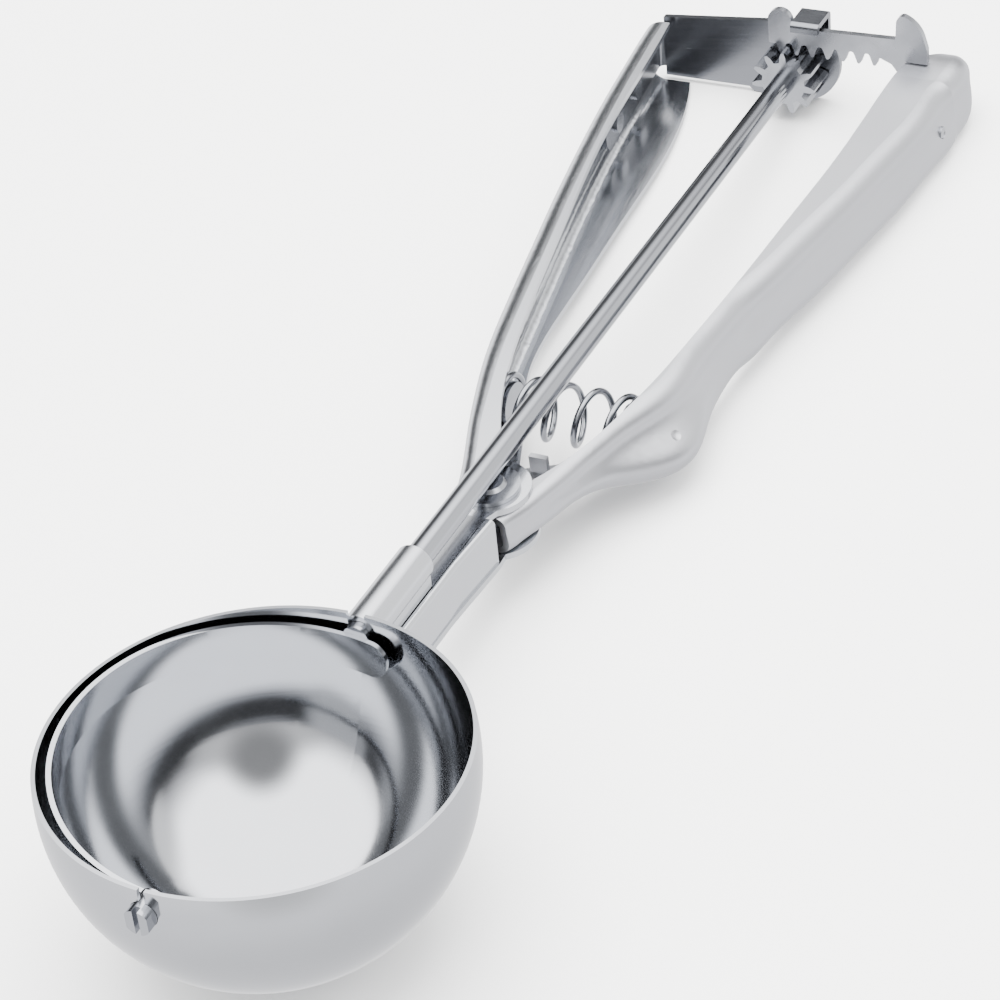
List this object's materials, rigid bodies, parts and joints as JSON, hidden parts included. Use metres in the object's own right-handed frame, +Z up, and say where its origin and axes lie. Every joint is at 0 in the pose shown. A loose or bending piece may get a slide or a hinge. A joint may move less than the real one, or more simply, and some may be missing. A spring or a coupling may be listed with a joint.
{
  "type": "lever ice cream scoop",
  "caption": "Hand scoop with a deep round bowl; squeezing the side lever drives a rack and pinion that turns a long shaft and sweeps a curved blade through the bowl",
  "frame": {"origin": "middle of the footprint, on the surface the scoop lies on", "axes": "+X along the scoop from the bowl to the handle ends, +Y from the lever to the fixed handle, +Z up, out of the bowl's mouth"},
  "size_m": [0.2416, 0.0632, 0.0371],
  "materials": {
    "polished_steel": "mirror polished stainless steel",
    "satin_steel": "bright satin stainless steel",
    "plated_steel": "bright drawn steel",
    "rivet_steel": "tumbled steel rivet",
    "spring_steel": "drawn spring wire"
  },
  "bodies": {
    "frame": {"bowl": "polished_steel", "frame_pressing": "satin_steel", "neck_cover": "satin_steel", "end_bracket": "satin_steel", "bracket_rivets": "rivet_steel", "pivot_rivet": "plated_steel", "pivot_washer_upper": "plated_steel", "pivot_washer_lower": "plated_steel", "spring": "spring_steel", "spring_seat_fixed": "rivet_steel"},
    "lever": {"lever_pressing": "satin_steel", "spring_seat_lever": "rivet_steel", "rack": "plated_steel", "rack_rivet": "rivet_steel"},
    "shaft": {"shaft": "plated_steel", "pinion": "plated_steel", "blade": "polished_steel", "blade_front_stud": "plated_steel", "shaft_end_washer": "plated_steel"}
  },
  "joints": [
    {"name": "lever_hinge", "type": "hinge", "parent": "frame", "child": "lever", "pos_m": [-0.01812, 0.0016, 0.0118], "axis": [0.0411, 0, 0.9992], "range_deg": [0, 6], "stiffness_Nm_per_rad": 2, "springref_deg": -8.59, "deforming": ["spring"]},
    {"name": "shaft_spin", "type": "hinge", "parent": "frame", "child": "shaft", "pos_m": [0.03022, 0.0016, 0.01654], "axis": [0.9937, 0, -0.1125], "range_deg": [-150, 0]}
  ],
  "couplings": [
    {"joint": "shaft_spin", "follows": "lever_hinge", "ratio": -25}
  ]
}
